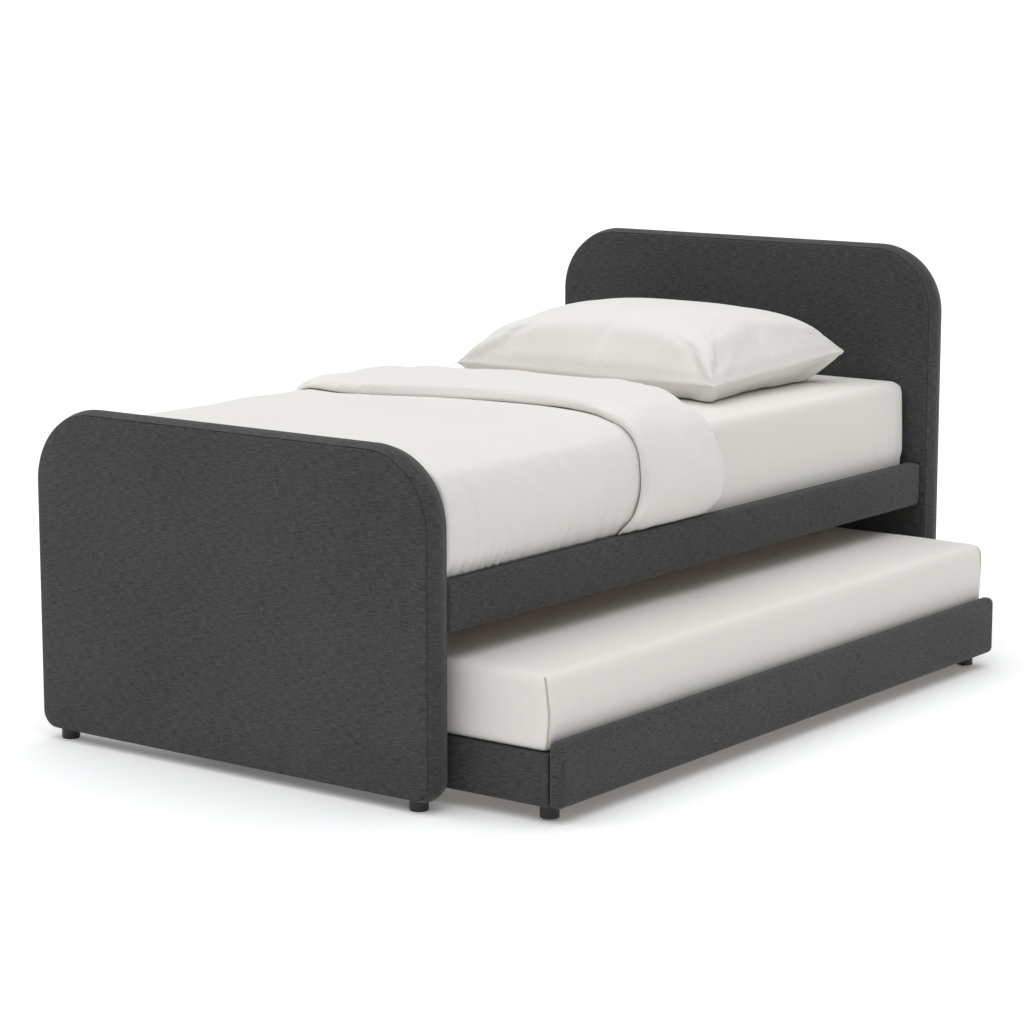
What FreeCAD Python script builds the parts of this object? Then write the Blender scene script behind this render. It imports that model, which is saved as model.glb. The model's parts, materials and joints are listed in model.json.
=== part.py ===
import FreeCAD, Part

import math
import os

# Single upholstered bed with a low trundle that rolls out from under its right-hand side.
# Millimetres. X runs across the bed, the trundle rolls out towards +X. Y runs from the footboard
# to the headboard. Z is up, with the floor at 0. The origin is on the floor under the middle of
# the whole object with the trundle partly pulled out.

# ---- driving dimensions: the bed ----
BED_WIDTH = 1090.0
BED_LENGTH = 2045.0
HEADBOARD_OVERHANG = 12.0
PANEL_THICK = 72.0
PANEL_BOTTOM = 25.0
FOOTBOARD_TOP = 734.0
HEADBOARD_TOP = 997.0
TOP_CORNER_R = 160.0
LOWER_CORNER_R = 38.0
PANEL_EDGE_R = 16.0

RAIL_INSET = 2.0
RAIL_THICK = 40.0
RAIL_BOTTOM = 362.0
RAIL_TOP = 467.0
RAIL_EDGE_R = 11.0

COVER = 2.0
PANEL_PADDING = 14.0
RAIL_PADDING = 5.0

# ---- driving dimensions: the trundle ----
TRUNDLE_PULLED_OUT = 255.0
TRUNDLE_WIDTH = 990.0
TRUNDLE_START = 102.0
TRUNDLE_END = 1896.0
FASCIA_THICK = 35.0
FASCIA_BOTTOM = 33.0
FASCIA_TOP = 170.0
END_RAIL_THICK = 30.0
END_RAIL_TOP = 142.0
BACK_RAIL_THICK = 25.0
END_RAIL_EDGE_R = 5.0
TRUNDLE_EDGE_R = 9.0
TRUNDLE_PADDING = 4.0

# ---- driving dimensions: bedding ----
MATTRESS_TOP = 668.0
MATTRESS_GAP = 3.0
MATTRESS_CORNER_R = 34.0
MATTRESS_EDGE_R = 20.0
TRUNDLE_MATTRESS_TOP = 300.0
SHEET = 1.2
SHEET_HEM = 90.0
DUVET_THICK = 26.0
DUVET_HANG = 25.0
DUVET_HEAD_EDGE = 1240.0
DUVET_FOLD_WIDTH = 385.0
DUVET_FOLD_THICK = 22.0
PILLOW_LENGTH = 740.0
PILLOW_WIDTH = 530.0
PILLOW_THICK = 152.0
PILLOW_START = 1315.0

# ---- driving dimensions: slats, feet, rollers and fixings ----
SLAT_THICK = 18.0
SLAT_WIDTH = 88.0
SLAT_COUNT = 10
TRUNDLE_SLAT_COUNT = 9
SLAT_END_MARGIN = 40.0
LEDGE_WIDTH = 30.0
LEDGE_HEIGHT = 24.0
STRAP_WIDTH = 25.0
STRAP_THICK = 1.5
FOOT_D = 40.0
FOOT_INSET_X = 52.0
FOOT_PAD_THICK = 3.0
STUD_D = 8.0
STUD_IN_BOARD = 30.0
STUD_IN_FOOT = 14.0
ROLLER_HOOD_D = 40.0
ROLLER_HOOD_BOTTOM = 4.0
WHEEL_R = 14.0
WHEEL_WIDTH = 18.0
AXLE_D = 5.0
RUNNING_GAP = 0.06
ROLLER_INSET_X = 58.0
ROLLER_INSET_Y = 40.0
BLOCK_SIZE = 60.0
BRACKET_THICK = 3.0
BRACKET_LEG = 46.0
BRACKET_HEIGHT = 52.0
BOLT_D = 7.8
BOLT_HOLE_D = 8.4
BOLT_HEAD_ACROSS = 13.0
BOLT_HEAD_HEIGHT = 5.3
INSERT_D = 12.0
INSERT_LENGTH = 20.0
SCREW_D = 5.0
SCREW_LENGTH = 80.0
SCREW_HEAD_D = 9.0
SCREW_HEAD_HEIGHT = 3.0
SCREW_OFFSET = 18.0
HOOD_STEM_LENGTH = 25.0

# ---- places worked out from the dimensions ----
OVERALL_MIN_X = -HEADBOARD_OVERHANG
OVERALL_MAX_X = BED_WIDTH + TRUNDLE_PULLED_OUT
SHIFT_X = -(OVERALL_MIN_X + OVERALL_MAX_X) / 2
SHIFT_Y = -BED_LENGTH / 2

BAY_START = PANEL_THICK
BAY_END = BED_LENGTH - PANEL_THICK
RAIL_INNER_LEFT = RAIL_INSET + RAIL_THICK
RAIL_INNER_RIGHT = BED_WIDTH - RAIL_INSET - RAIL_THICK
SLAT_TOP = 420.0
LEDGE_TOP = SLAT_TOP - SLAT_THICK

TRUNDLE_FRONT = BED_WIDTH + TRUNDLE_PULLED_OUT
TRUNDLE_BACK = TRUNDLE_FRONT - TRUNDLE_WIDTH
FASCIA_INNER = TRUNDLE_FRONT - FASCIA_THICK
BACK_INNER = TRUNDLE_BACK + BACK_RAIL_THICK
TRUNDLE_SLAT_BOTTOM = END_RAIL_TOP - SLAT_THICK
TRUNDLE_LEDGE_BOTTOM = TRUNDLE_SLAT_BOTTOM - LEDGE_HEIGHT
INNER_START = TRUNDLE_START + END_RAIL_THICK
INNER_END = TRUNDLE_END - END_RAIL_THICK

X_AXIS = FreeCAD.Vector(1, 0, 0)
Y_AXIS = FreeCAD.Vector(0, 1, 0)
Z_AXIS = FreeCAD.Vector(0, 0, 1)


# ---- shape helpers ----
def vec(x, y, z):
    return FreeCAD.Vector(x, y, z)


def box(x0, x1, y0, y1, z0, z1):
    return Part.makeBox(x1 - x0, y1 - y0, z1 - z0, vec(x0, y0, z0))


def rod(diameter, start, axis, length):
    return Part.makeCylinder(diameter / 2, length, start, axis)


def soft_box(x0, x1, y0, y1, z0, z1, edge_r):
    """A box with all of its edges rounded."""
    body = box(x0, x1, y0, y1, z0, z1)
    return body.makeFillet(edge_r, body.Edges)


def group(solids):
    """Separate solids that share one node."""
    return Part.makeCompound(solids)


def outline(x0, x1, z0, z1, low_r, top_r, y):
    """An upright rectangle with large top corners and small lower corners, as a closed wire."""
    def corner(cx, cz, r, first_angle):
        first = math.radians(first_angle)
        middle = math.radians(first_angle - 45)
        last = math.radians(first_angle - 90)
        points = [vec(cx + r * math.cos(a), y, cz + r * math.sin(a)) for a in (first, middle, last)]
        return Part.Arc(*points).toShape()

    arcs = [
        corner(x0 + low_r, z0 + low_r, low_r, 270),
        corner(x0 + top_r, z1 - top_r, top_r, 180),
        corner(x1 - top_r, z1 - top_r, top_r, 90),
        corner(x1 - low_r, z0 + low_r, low_r, 0),
    ]
    edges = []
    for i, arc in enumerate(arcs):
        following = arcs[(i + 1) % len(arcs)]
        edges.append(arc)
        edges.append(Part.makeLine(arc.Vertexes[-1].Point, following.Vertexes[0].Point))
    return Part.Wire(edges)


def panel(x0, x1, y0, y1, z0, z1, inset, edge_r):
    """An upholstered slab with rounded corners, drawn in by inset all round."""
    low_r = LOWER_CORNER_R - inset
    top_r = TOP_CORNER_R - inset
    wire = outline(x0 + inset, x1 - inset, z0 + inset, z1 - inset, low_r, top_r, y0 + inset)
    slab = Part.Face(wire).extrude(vec(0, y1 - y0 - 2 * inset, 0))
    if edge_r <= 0:
        return slab
    flat_ends = [e for f in slab.Faces if abs(f.normalAt(0, 0).y) > 0.99 for e in f.Edges]
    return slab.makeFillet(edge_r, flat_ends)


def hex_head(centre, axis, across, height):
    """A bolt's hexagon head that stands on centre along axis."""
    side = Y_AXIS if abs(axis.y) < 0.5 else X_AXIS
    radius = across / math.sqrt(3)
    start = centre + side * radius
    turned = []
    for i in range(7):
        turn = FreeCAD.Rotation(axis, 60 * i)
        turned.append(centre + turn.multVec(start - centre))
    return Part.Face(Part.makePolygon(turned)).extrude(axis * height)


def bolt(seat, axis, grip):
    """A hexagon bolt whose head sits on seat and whose shank goes in along axis."""
    head = hex_head(seat, axis * -1, BOLT_HEAD_ACROSS, BOLT_HEAD_HEIGHT)
    return rod(BOLT_D, seat, axis, grip).fuse(head)


def mattress_body(x0, x1, y0, y1, z0, z1, inset):
    """A mattress with rounded upright corners and softly rounded edges."""
    body = box(x0 + inset, x1 - inset, y0 + inset, y1 - inset, z0 + inset, z1 - inset)
    upright = [e for e in body.Edges if abs(e.tangentAt(e.FirstParameter).z) > 0.9]
    body = body.makeFillet(MATTRESS_CORNER_R - inset, upright)
    level = [e for f in body.Faces if abs(f.normalAt(0, 0).z) > 0.99 for e in f.Edges]
    return body.makeFillet(MATTRESS_EDGE_R - inset, level)


def dressed_mattress(x0, x1, y0, y1, z0, z1):
    """The mattress and its fitted sheet, which wraps the top, the sides and a hem underneath."""
    whole = mattress_body(x0, x1, y0, y1, z0, z1, 0)
    pad = mattress_body(x0, x1, y0, y1, z0, z1, SHEET)
    opening = box(x0 + SHEET_HEM, x1 - SHEET_HEM, y0 + SHEET_HEM, y1 - SHEET_HEM, z0 - 1, z0 + 2 * SHEET)
    return pad, whole.cut(pad).cut(opening)


# ---- headboard and footboard ----
def bed_panel(x0, x1, y0, z1, bolt_side, cutters):
    """Board, padding and cover of one upholstered end panel, drilled by the cutters."""
    y1 = y0 + PANEL_THICK
    skin = panel(x0, x1, y0, y1, PANEL_BOTTOM, z1, 0, PANEL_EDGE_R)
    under_skin = panel(x0, x1, y0, y1, PANEL_BOTTOM, z1, COVER, PANEL_EDGE_R - COVER)
    board = panel(x0, x1, y0, y1, PANEL_BOTTOM, z1, COVER + PANEL_PADDING, 0)
    cover = skin.cut(under_skin)
    padding = under_skin.cut(board)
    for cutter in cutters:
        cover = cover.cut(cutter)
        padding = padding.cut(cutter)
        board = board.cut(cutter)
    for seat, axis in bolt_side:
        board = board.cut(rod(INSERT_D, seat, axis, INSERT_LENGTH))
    return board, padding, cover


# ---- an upholstered rail ----
def upholstered_bar(x0, x1, y0, y1, z0, z1, padding, edge_r):
    """Beam, padding and cover of a straight upholstered rail."""
    def drawn_in(inset, radius):
        limits = (x0 + inset, x1 - inset, y0 + inset, y1 - inset, z0 + inset, z1 - inset)
        return soft_box(*limits, radius) if radius > 0 else box(*limits)

    skin = drawn_in(0, edge_r)
    under_skin = drawn_in(COVER, edge_r - COVER)
    beam = drawn_in(COVER + padding, 0)
    return beam, under_skin.cut(beam), skin.cut(under_skin)


def wrapped_board(x0, x1, y0, y1, z0, z1, edge_r):
    """A board with its edges eased and the cover that is glued round it."""
    skin = soft_box(x0, x1, y0, y1, z0, z1, edge_r)
    inner = (x0 + COVER, x1 - COVER, y0 + COVER, y1 - COVER, z0 + COVER, z1 - COVER)
    board = soft_box(*inner, edge_r - COVER)
    return board, skin.cut(board)


# ---- fixings between the rails and the end panels ----
def bracket_places():
    """Corner, direction towards the bed's middle across, and direction towards its middle lengthwise."""
    return [
        (vec(RAIL_INNER_LEFT, BAY_START, 0), 1, 1),
        (vec(RAIL_INNER_RIGHT, BAY_START, 0), -1, 1),
        (vec(RAIL_INNER_LEFT, BAY_END, 0), 1, -1),
        (vec(RAIL_INNER_RIGHT, BAY_END, 0), -1, -1),
    ]


BRACKET_BOTTOM = RAIL_BOTTOM + 2
BOLT_HEIGHTS = (BRACKET_BOTTOM + 12, BRACKET_BOTTOM + BRACKET_HEIGHT - 12)
BOLT_OFFSET = 28.0
PANEL_GRIP = BRACKET_THICK + COVER + PANEL_PADDING + INSERT_LENGTH
RAIL_GRIP = BRACKET_THICK + COVER + RAIL_PADDING + 20


def corner_bracket(corner, across, along):
    """A steel angle, one leg on the rail and one on the end panel, with its bolt holes."""
    xs = sorted((corner.x, corner.x + across * BRACKET_LEG))
    ys = sorted((corner.y, corner.y + along * BRACKET_LEG))
    thin_x = sorted((corner.x, corner.x + across * BRACKET_THICK))
    thin_y = sorted((corner.y, corner.y + along * BRACKET_THICK))
    z0 = BRACKET_BOTTOM
    z1 = BRACKET_BOTTOM + BRACKET_HEIGHT
    angle = box(*xs, *thin_y, z0, z1).fuse(box(*thin_x, *ys, z0, z1))
    for z in BOLT_HEIGHTS:
        to_panel = vec(corner.x + across * BOLT_OFFSET, corner.y + along * 10, z)
        angle = angle.cut(rod(BOLT_HOLE_D, to_panel, vec(0, -along, 0), 20))
        to_rail = vec(corner.x + across * 10, corner.y + along * BOLT_OFFSET, z)
        angle = angle.cut(rod(BOLT_HOLE_D, to_rail, vec(-across, 0, 0), 20))
    return angle.removeSplitter()


brackets = []
bolts = []
inserts = []
panel_bolt_seats = []
rail_bolt_seats = []
for corner, across, along in bracket_places():
    brackets.append(corner_bracket(corner, across, along))
    for z in BOLT_HEIGHTS:
        seat = vec(corner.x + across * BOLT_OFFSET, corner.y + along * BRACKET_THICK, z)
        into_panel = vec(0, -along, 0)
        bolts.append(bolt(seat, into_panel, PANEL_GRIP - 1))
        insert_start = seat + into_panel * (PANEL_GRIP - INSERT_LENGTH)
        sleeve = rod(INSERT_D, insert_start, into_panel, INSERT_LENGTH)
        inserts.append(sleeve.cut(rod(STUD_D, insert_start, into_panel, INSERT_LENGTH)))
        panel_bolt_seats.append((insert_start, into_panel))

        seat = vec(corner.x + across * BRACKET_THICK, corner.y + along * BOLT_OFFSET, z)
        into_rail = vec(-across, 0, 0)
        bolts.append(bolt(seat, into_rail, RAIL_GRIP - 1))
        rail_bolt_seats.append((seat, into_rail))


def panel_cutters(y0):
    """Clearance holes for the bracket bolts and foot studs of the panel that starts at y0."""
    y1 = y0 + PANEL_THICK
    cutters = []
    for start, axis in panel_bolt_seats:
        if y0 < start.y < y1:
            first = start - axis * (COVER + PANEL_PADDING + 1)
            cutters.append(rod(BOLT_HOLE_D, first, axis, COVER + PANEL_PADDING + INSERT_LENGTH + 3))
    for x in (FOOT_INSET_X, BED_WIDTH - FOOT_INSET_X):
        start = vec(x, (y0 + y1) / 2, PANEL_BOTTOM - 1)
        length = COVER + PANEL_PADDING + STUD_IN_BOARD + 2
        cutters.append(rod(STUD_D + 0.4, start, Z_AXIS, length))
    return cutters


def seats_in(y0):
    return [(start, axis) for start, axis in panel_bolt_seats if y0 < start.y < y0 + PANEL_THICK]


nodes = {}

footboard = bed_panel(0, BED_WIDTH, 0, FOOTBOARD_TOP, seats_in(0), panel_cutters(0))
head_y = BED_LENGTH - PANEL_THICK
head_x0 = -HEADBOARD_OVERHANG
head_x1 = BED_WIDTH + HEADBOARD_OVERHANG
headboard = bed_panel(head_x0, head_x1, head_y, HEADBOARD_TOP, seats_in(head_y), panel_cutters(head_y))
for name, layers in (("footboard", footboard), ("headboard", headboard)):
    for layer, shape in zip(("board", "padding", "cover"), layers):
        nodes[f"{name}_{layer}"] = shape

# ---- side rails ----
rail_spans = {
    "left": (RAIL_INSET, RAIL_INNER_LEFT),
    "right": (RAIL_INNER_RIGHT, BED_WIDTH - RAIL_INSET),
}
for side, (x0, x1) in rail_spans.items():
    layers = upholstered_bar(x0, x1, BAY_START, BAY_END, RAIL_BOTTOM, RAIL_TOP, RAIL_PADDING, RAIL_EDGE_R)
    for layer, shape in zip(("beam", "padding", "cover"), layers):
        for seat, axis in rail_bolt_seats:
            if x0 - 1 < (seat + axis * 10).x < x1 + 1:
                shape = shape.cut(rod(BOLT_HOLE_D, seat, axis, RAIL_GRIP + 1))
        nodes[f"{side}_rail_{layer}"] = shape

nodes["rail_brackets"] = group(brackets)
nodes["bracket_bolts"] = group(bolts)
nodes["insert_nuts"] = group(inserts)

# ---- slats on their ledges ----
ledge_start = BAY_START + BRACKET_LEG + 8
ledge_end = BAY_END - BRACKET_LEG - 8
for side, x0 in (("left", RAIL_INNER_LEFT), ("right", RAIL_INNER_RIGHT - LEDGE_WIDTH)):
    nodes[f"{side}_slat_ledge"] = box(
        x0, x0 + LEDGE_WIDTH, ledge_start, ledge_end, LEDGE_TOP - LEDGE_HEIGHT, LEDGE_TOP
    )

slat_x0 = RAIL_INNER_LEFT + MATTRESS_GAP
slat_x1 = RAIL_INNER_RIGHT - MATTRESS_GAP
first_slat = ledge_start + 2
slat_pitch = (ledge_end - 2 - SLAT_WIDTH - first_slat) / (SLAT_COUNT - 1)
for i in range(SLAT_COUNT):
    y = first_slat + i * slat_pitch
    nodes[f"slat_{i + 1:02d}"] = box(slat_x0, slat_x1, y, y + SLAT_WIDTH, LEDGE_TOP, SLAT_TOP)
straps = []
for x in (BED_WIDTH * 0.27, BED_WIDTH * 0.73):
    x0 = x - STRAP_WIDTH / 2
    straps.append(
        box(x0, x0 + STRAP_WIDTH, first_slat, ledge_end - 2, LEDGE_TOP - STRAP_THICK, LEDGE_TOP)
    )
nodes["slat_straps"] = group(straps)

# ---- feet under the end panels ----
studs = []
foot_pads = []
stud_length = STUD_IN_FOOT + COVER + PANEL_PADDING + STUD_IN_BOARD
for end, y in (("footboard", PANEL_THICK / 2), ("headboard", BED_LENGTH - PANEL_THICK / 2)):
    for side, x in (("left", FOOT_INSET_X), ("right", BED_WIDTH - FOOT_INSET_X)):
        foot = rod(FOOT_D, vec(x, y, FOOT_PAD_THICK), Z_AXIS, PANEL_BOTTOM - FOOT_PAD_THICK)
        socket = rod(STUD_D + 0.2, vec(x, y, PANEL_BOTTOM - STUD_IN_FOOT - 1), Z_AXIS, STUD_IN_FOOT + 2)
        nodes[f"{end}_foot_{side}"] = foot.makeFillet(1.5, foot.Edges[0:1]).cut(socket)
        studs.append(rod(STUD_D, vec(x, y, PANEL_BOTTOM - STUD_IN_FOOT), Z_AXIS, stud_length))
        foot_pads.append(rod(FOOT_D - 3, vec(x, y, 0), Z_AXIS, FOOT_PAD_THICK))
nodes["foot_studs"] = group(studs)
nodes["foot_pads"] = group(foot_pads)

# ---- upper mattress, fitted sheet, duvet and pillow ----
mattress_limits = (
    RAIL_INNER_LEFT + MATTRESS_GAP,
    RAIL_INNER_RIGHT - MATTRESS_GAP,
    BAY_START + MATTRESS_GAP,
    BAY_END - MATTRESS_GAP,
)
nodes["mattress"], nodes["fitted_sheet"] = dressed_mattress(*mattress_limits, SLAT_TOP, MATTRESS_TOP)

duvet_x0 = mattress_limits[0] - DUVET_HANG
duvet_x1 = mattress_limits[1] + DUVET_HANG
duvet_y0 = mattress_limits[2]
duvet_top = MATTRESS_TOP + DUVET_THICK
duvet_bottom = RAIL_TOP + 1
duvet_edge_r = DUVET_THICK / 2 - 1
duvet = soft_box(duvet_x0, duvet_x1, duvet_y0, DUVET_HEAD_EDGE, duvet_bottom, duvet_top, duvet_edge_r)
fold_y0 = DUVET_HEAD_EDGE - DUVET_FOLD_WIDTH
fold_top = duvet_top + DUVET_FOLD_THICK
fold = soft_box(duvet_x0, duvet_x1, fold_y0, DUVET_HEAD_EDGE, duvet_bottom, fold_top, duvet_edge_r)
under_x0 = mattress_limits[0] - 0.5
under_x1 = mattress_limits[1] + 0.5
under_duvet = box(under_x0, under_x1, 0, BED_LENGTH, 0, MATTRESS_TOP + 0.3)
nodes["duvet"] = duvet.fuse(fold).cut(under_duvet)

pillow_x0 = (BED_WIDTH - PILLOW_LENGTH) / 2
nodes["pillow"] = soft_box(
    pillow_x0,
    pillow_x0 + PILLOW_LENGTH,
    PILLOW_START,
    PILLOW_START + PILLOW_WIDTH,
    MATTRESS_TOP + 0.3,
    MATTRESS_TOP + PILLOW_THICK,
    PILLOW_THICK / 2 - 8,
)

# ---- trundle: fascia, end rails and back rail ----
fascia_limits = (FASCIA_INNER, TRUNDLE_FRONT, TRUNDLE_START, TRUNDLE_END, FASCIA_BOTTOM, FASCIA_TOP)
fascia = upholstered_bar(*fascia_limits, TRUNDLE_PADDING, TRUNDLE_EDGE_R)
for layer, shape in zip(("beam", "padding", "cover"), fascia):
    nodes[f"trundle_fascia_{layer}"] = shape
end_rails = {
    "foot": (TRUNDLE_START, TRUNDLE_START + END_RAIL_THICK),
    "head": (TRUNDLE_END - END_RAIL_THICK, TRUNDLE_END),
}
for end, (y0, y1) in end_rails.items():
    rail = wrapped_board(
        BACK_INNER, FASCIA_INNER, y0, y1, FASCIA_BOTTOM, END_RAIL_TOP, END_RAIL_EDGE_R
    )
    nodes[f"trundle_{end}_rail_beam"] = rail[0]
    nodes[f"trundle_{end}_rail_cover"] = rail[1]
rail = wrapped_board(
    TRUNDLE_BACK, BACK_INNER, TRUNDLE_START, TRUNDLE_END, FASCIA_BOTTOM, END_RAIL_TOP, END_RAIL_EDGE_R
)
nodes["trundle_back_rail_beam"] = rail[0]
nodes["trundle_back_rail_cover"] = rail[1]

# ---- trundle: ledges, slats, bearer and corner blocks ----
ledges = []
for x0 in (BACK_INNER, FASCIA_INNER - LEDGE_WIDTH):
    x1 = x0 + LEDGE_WIDTH
    ledges.append(box(x0, x1, INNER_START, INNER_END, TRUNDLE_LEDGE_BOTTOM, TRUNDLE_SLAT_BOTTOM))
nodes["trundle_slat_ledges"] = group(ledges)

trundle_slats = []
usable = INNER_END - INNER_START - 2 * SLAT_END_MARGIN - SLAT_WIDTH
for i in range(TRUNDLE_SLAT_COUNT):
    y = INNER_START + SLAT_END_MARGIN + i * usable / (TRUNDLE_SLAT_COUNT - 1)
    trundle_slats.append(
        box(BACK_INNER + 2, FASCIA_INNER - 2, y, y + SLAT_WIDTH, TRUNDLE_SLAT_BOTTOM, END_RAIL_TOP)
    )
nodes["trundle_slats"] = group(trundle_slats)

bearer_x = (BACK_INNER + FASCIA_INNER) / 2
nodes["trundle_centre_bearer"] = box(
    bearer_x - 20, bearer_x + 20, INNER_START, INNER_END, TRUNDLE_SLAT_BOTTOM - 60, TRUNDLE_SLAT_BOTTOM
)

blocks = []
screws = []
screw_holes = []
block_middle_z = (FASCIA_BOTTOM + TRUNDLE_LEDGE_BOTTOM) / 2
for x0, outward_x in ((BACK_INNER, -1), (FASCIA_INNER - BLOCK_SIZE, 1)):
    for y0, outward_y in ((INNER_START, -1), (INNER_END - BLOCK_SIZE, 1)):
        block = box(x0, x0 + BLOCK_SIZE, y0, y0 + BLOCK_SIZE, FASCIA_BOTTOM, TRUNDLE_LEDGE_BOTTOM)
        inner_x = x0 if outward_x > 0 else x0 + BLOCK_SIZE
        inner_y = y0 if outward_y > 0 else y0 + BLOCK_SIZE
        for dz in (-15, 15):
            along_x = vec(inner_x, y0 + BLOCK_SIZE / 2, block_middle_z + dz)
            along_y = vec(inner_x + outward_x * SCREW_OFFSET, inner_y, block_middle_z + dz + 6)
            for start, axis in ((along_x, vec(outward_x, 0, 0)), (along_y, vec(0, outward_y, 0))):
                head = rod(SCREW_HEAD_D, start - axis * SCREW_HEAD_HEIGHT, axis, SCREW_HEAD_HEIGHT)
                screws.append(rod(SCREW_D, start, axis, SCREW_LENGTH).fuse(head))
                screw_holes.append(rod(SCREW_D + 0.2, start - axis, axis, SCREW_LENGTH + 2))
        blocks.append(block)
nodes["trundle_screws"] = group(screws)
nodes["trundle_corner_blocks"] = group(blocks)

# ---- trundle: four roller feet, each a hood with one captive wheel ----
roller_places = {}
for end, y in (("foot", TRUNDLE_START + ROLLER_INSET_Y), ("head", TRUNDLE_END - ROLLER_INSET_Y)):
    for side, x in (("back", TRUNDLE_BACK + ROLLER_INSET_X), ("front", TRUNDLE_FRONT - ROLLER_INSET_X)):
        roller_places[f"{end}_{side}"] = (x, y)
hoods = []
axles = []
stem_holes = []
for name, (x, y) in roller_places.items():
    hood = rod(ROLLER_HOOD_D, vec(x, y, ROLLER_HOOD_BOTTOM), Z_AXIS, FASCIA_BOTTOM - ROLLER_HOOD_BOTTOM)
    hood = hood.fuse(rod(STUD_D, vec(x, y, FASCIA_BOTTOM - 1), Z_AXIS, HOOD_STEM_LENGTH))
    stem_holes.append(rod(STUD_D + 0.4, vec(x, y, FASCIA_BOTTOM - 1), Z_AXIS, HOOD_STEM_LENGTH + 2))
    half_width = WHEEL_WIDTH / 2 + 0.6
    half_length = WHEEL_R + 1.5
    pocket_top = 2 * WHEEL_R + 1.5
    pocket = box(x - half_length, x + half_length, y - half_width, y + half_width, 0, pocket_top)
    axle_length = WHEEL_WIDTH + 14
    axle_start = vec(x, y - axle_length / 2, WHEEL_R)
    hoods.append(hood.cut(pocket).cut(rod(AXLE_D, axle_start, Y_AXIS, axle_length)))
    axles.append(rod(AXLE_D, axle_start, Y_AXIS, axle_length))
    wheel = rod(2 * WHEEL_R, vec(x, y - WHEEL_WIDTH / 2, WHEEL_R), Y_AXIS, WHEEL_WIDTH)
    wheel = wheel.makeFillet(1.2, [e for e in wheel.Edges if len(e.Vertexes) == 1 and e.Length > 50])
    bore = rod(AXLE_D + 2 * RUNNING_GAP, vec(x, y - WHEEL_WIDTH, WHEEL_R), Y_AXIS, 2 * WHEEL_WIDTH)
    nodes[f"roller_wheel_{name}"] = wheel.cut(bore)
nodes["roller_hoods"] = group(hoods)
nodes["roller_axles"] = group(axles)

# ---- drill the trundle's wood and covers for the screws and the roller stems ----
DRILLED_LAYERS = ("beam", "padding", "cover", "blocks")
for name in nodes:
    if name.startswith("trundle_") and name.endswith(DRILLED_LAYERS):
        for hole in screw_holes + stem_holes:
            if nodes[name].BoundBox.intersect(hole.BoundBox):
                nodes[name] = nodes[name].cut(hole)

# ---- trundle: mattress and fitted sheet ----
trundle_mattress = dressed_mattress(
    TRUNDLE_BACK + 2,
    FASCIA_INNER - 1,
    TRUNDLE_START + 1,
    TRUNDLE_END - 5,
    END_RAIL_TOP + 0.3,
    TRUNDLE_MATTRESS_TOP,
)
nodes["trundle_mattress"], nodes["trundle_fitted_sheet"] = trundle_mattress

# ---- write one file for each node ----
os.makedirs("parts", exist_ok=True)
for name, shape in nodes.items():
    placed = shape.copy()
    placed.translate(vec(SHIFT_X, SHIFT_Y, 0))
    placed.exportStep(f"parts/{name}.step")
    if not placed.isValid():
        print("not valid:", name)
print(len(nodes), "nodes written")
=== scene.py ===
import json
import math

import bmesh
import bpy
import numpy as np
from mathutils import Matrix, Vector, bvhtree, noise


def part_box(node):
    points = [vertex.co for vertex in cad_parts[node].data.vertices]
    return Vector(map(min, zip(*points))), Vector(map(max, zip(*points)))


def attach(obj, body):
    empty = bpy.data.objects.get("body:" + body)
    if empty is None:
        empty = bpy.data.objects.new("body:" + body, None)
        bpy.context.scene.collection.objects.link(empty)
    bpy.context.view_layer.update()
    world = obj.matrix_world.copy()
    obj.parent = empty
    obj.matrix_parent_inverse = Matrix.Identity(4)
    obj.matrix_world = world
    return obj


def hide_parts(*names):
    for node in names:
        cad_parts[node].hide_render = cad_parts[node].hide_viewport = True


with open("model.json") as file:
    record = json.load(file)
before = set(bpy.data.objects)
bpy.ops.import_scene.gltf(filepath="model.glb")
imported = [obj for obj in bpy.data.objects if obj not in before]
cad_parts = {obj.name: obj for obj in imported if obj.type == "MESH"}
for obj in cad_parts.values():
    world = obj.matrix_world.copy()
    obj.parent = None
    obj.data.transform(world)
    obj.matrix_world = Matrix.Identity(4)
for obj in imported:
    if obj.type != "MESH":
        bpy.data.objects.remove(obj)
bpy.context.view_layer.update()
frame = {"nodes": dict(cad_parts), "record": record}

# ---- sizes, in metres ----
CORNER_R = 0.16
LOWER_CORNER_R = 0.038
PANEL_EDGE_R = 0.010
PANEL_BACK_R = 0.014
RAIL_EDGE_R = 0.011
FASCIA_EDGE_R = 0.0145
END_RAIL_EDGE_R = 0.005
SEAM_WIDTH = 0.0012
SEAM_DEPTH = 0.0022
SAME_PLACE = 1e-4
FLOOR_SIZE = 40.0


# ---- working on one piece at a time ----
def wake(piece):
    """Makes this piece the only selected one, and the active one."""
    bpy.ops.object.select_all(action="DESELECT")
    piece.select_set(True)
    bpy.context.view_layer.objects.active = piece


def settle(piece):
    """Puts the piece's place into its mesh, so that its object sits at the origin."""
    wake(piece)
    bpy.ops.object.transform_apply(location=True, rotation=True, scale=True)


def start(name, primitive, **settings):
    """Adds a primitive as a new piece."""
    bpy.ops.object.select_all(action="DESELECT")
    primitive(**settings)
    piece = bpy.context.object
    piece.name = name
    piece.data.name = name
    settle(piece)
    return piece


def block(name, low, high):
    """Adds a box between two opposite corners."""
    low, high = Vector(low), Vector(high)
    return start(
        name, bpy.ops.mesh.primitive_cube_add, size=1, location=(low + high) / 2, scale=high - low
    )


def open_edit(piece, kind="EDGE"):
    """Starts edit mode with nothing selected."""
    wake(piece)
    bpy.ops.object.mode_set(mode="EDIT")
    bpy.ops.mesh.select_mode(type=kind)
    bpy.ops.mesh.select_all(action="DESELECT")


def close_edit():
    bpy.ops.object.mode_set(mode="OBJECT")


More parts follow.
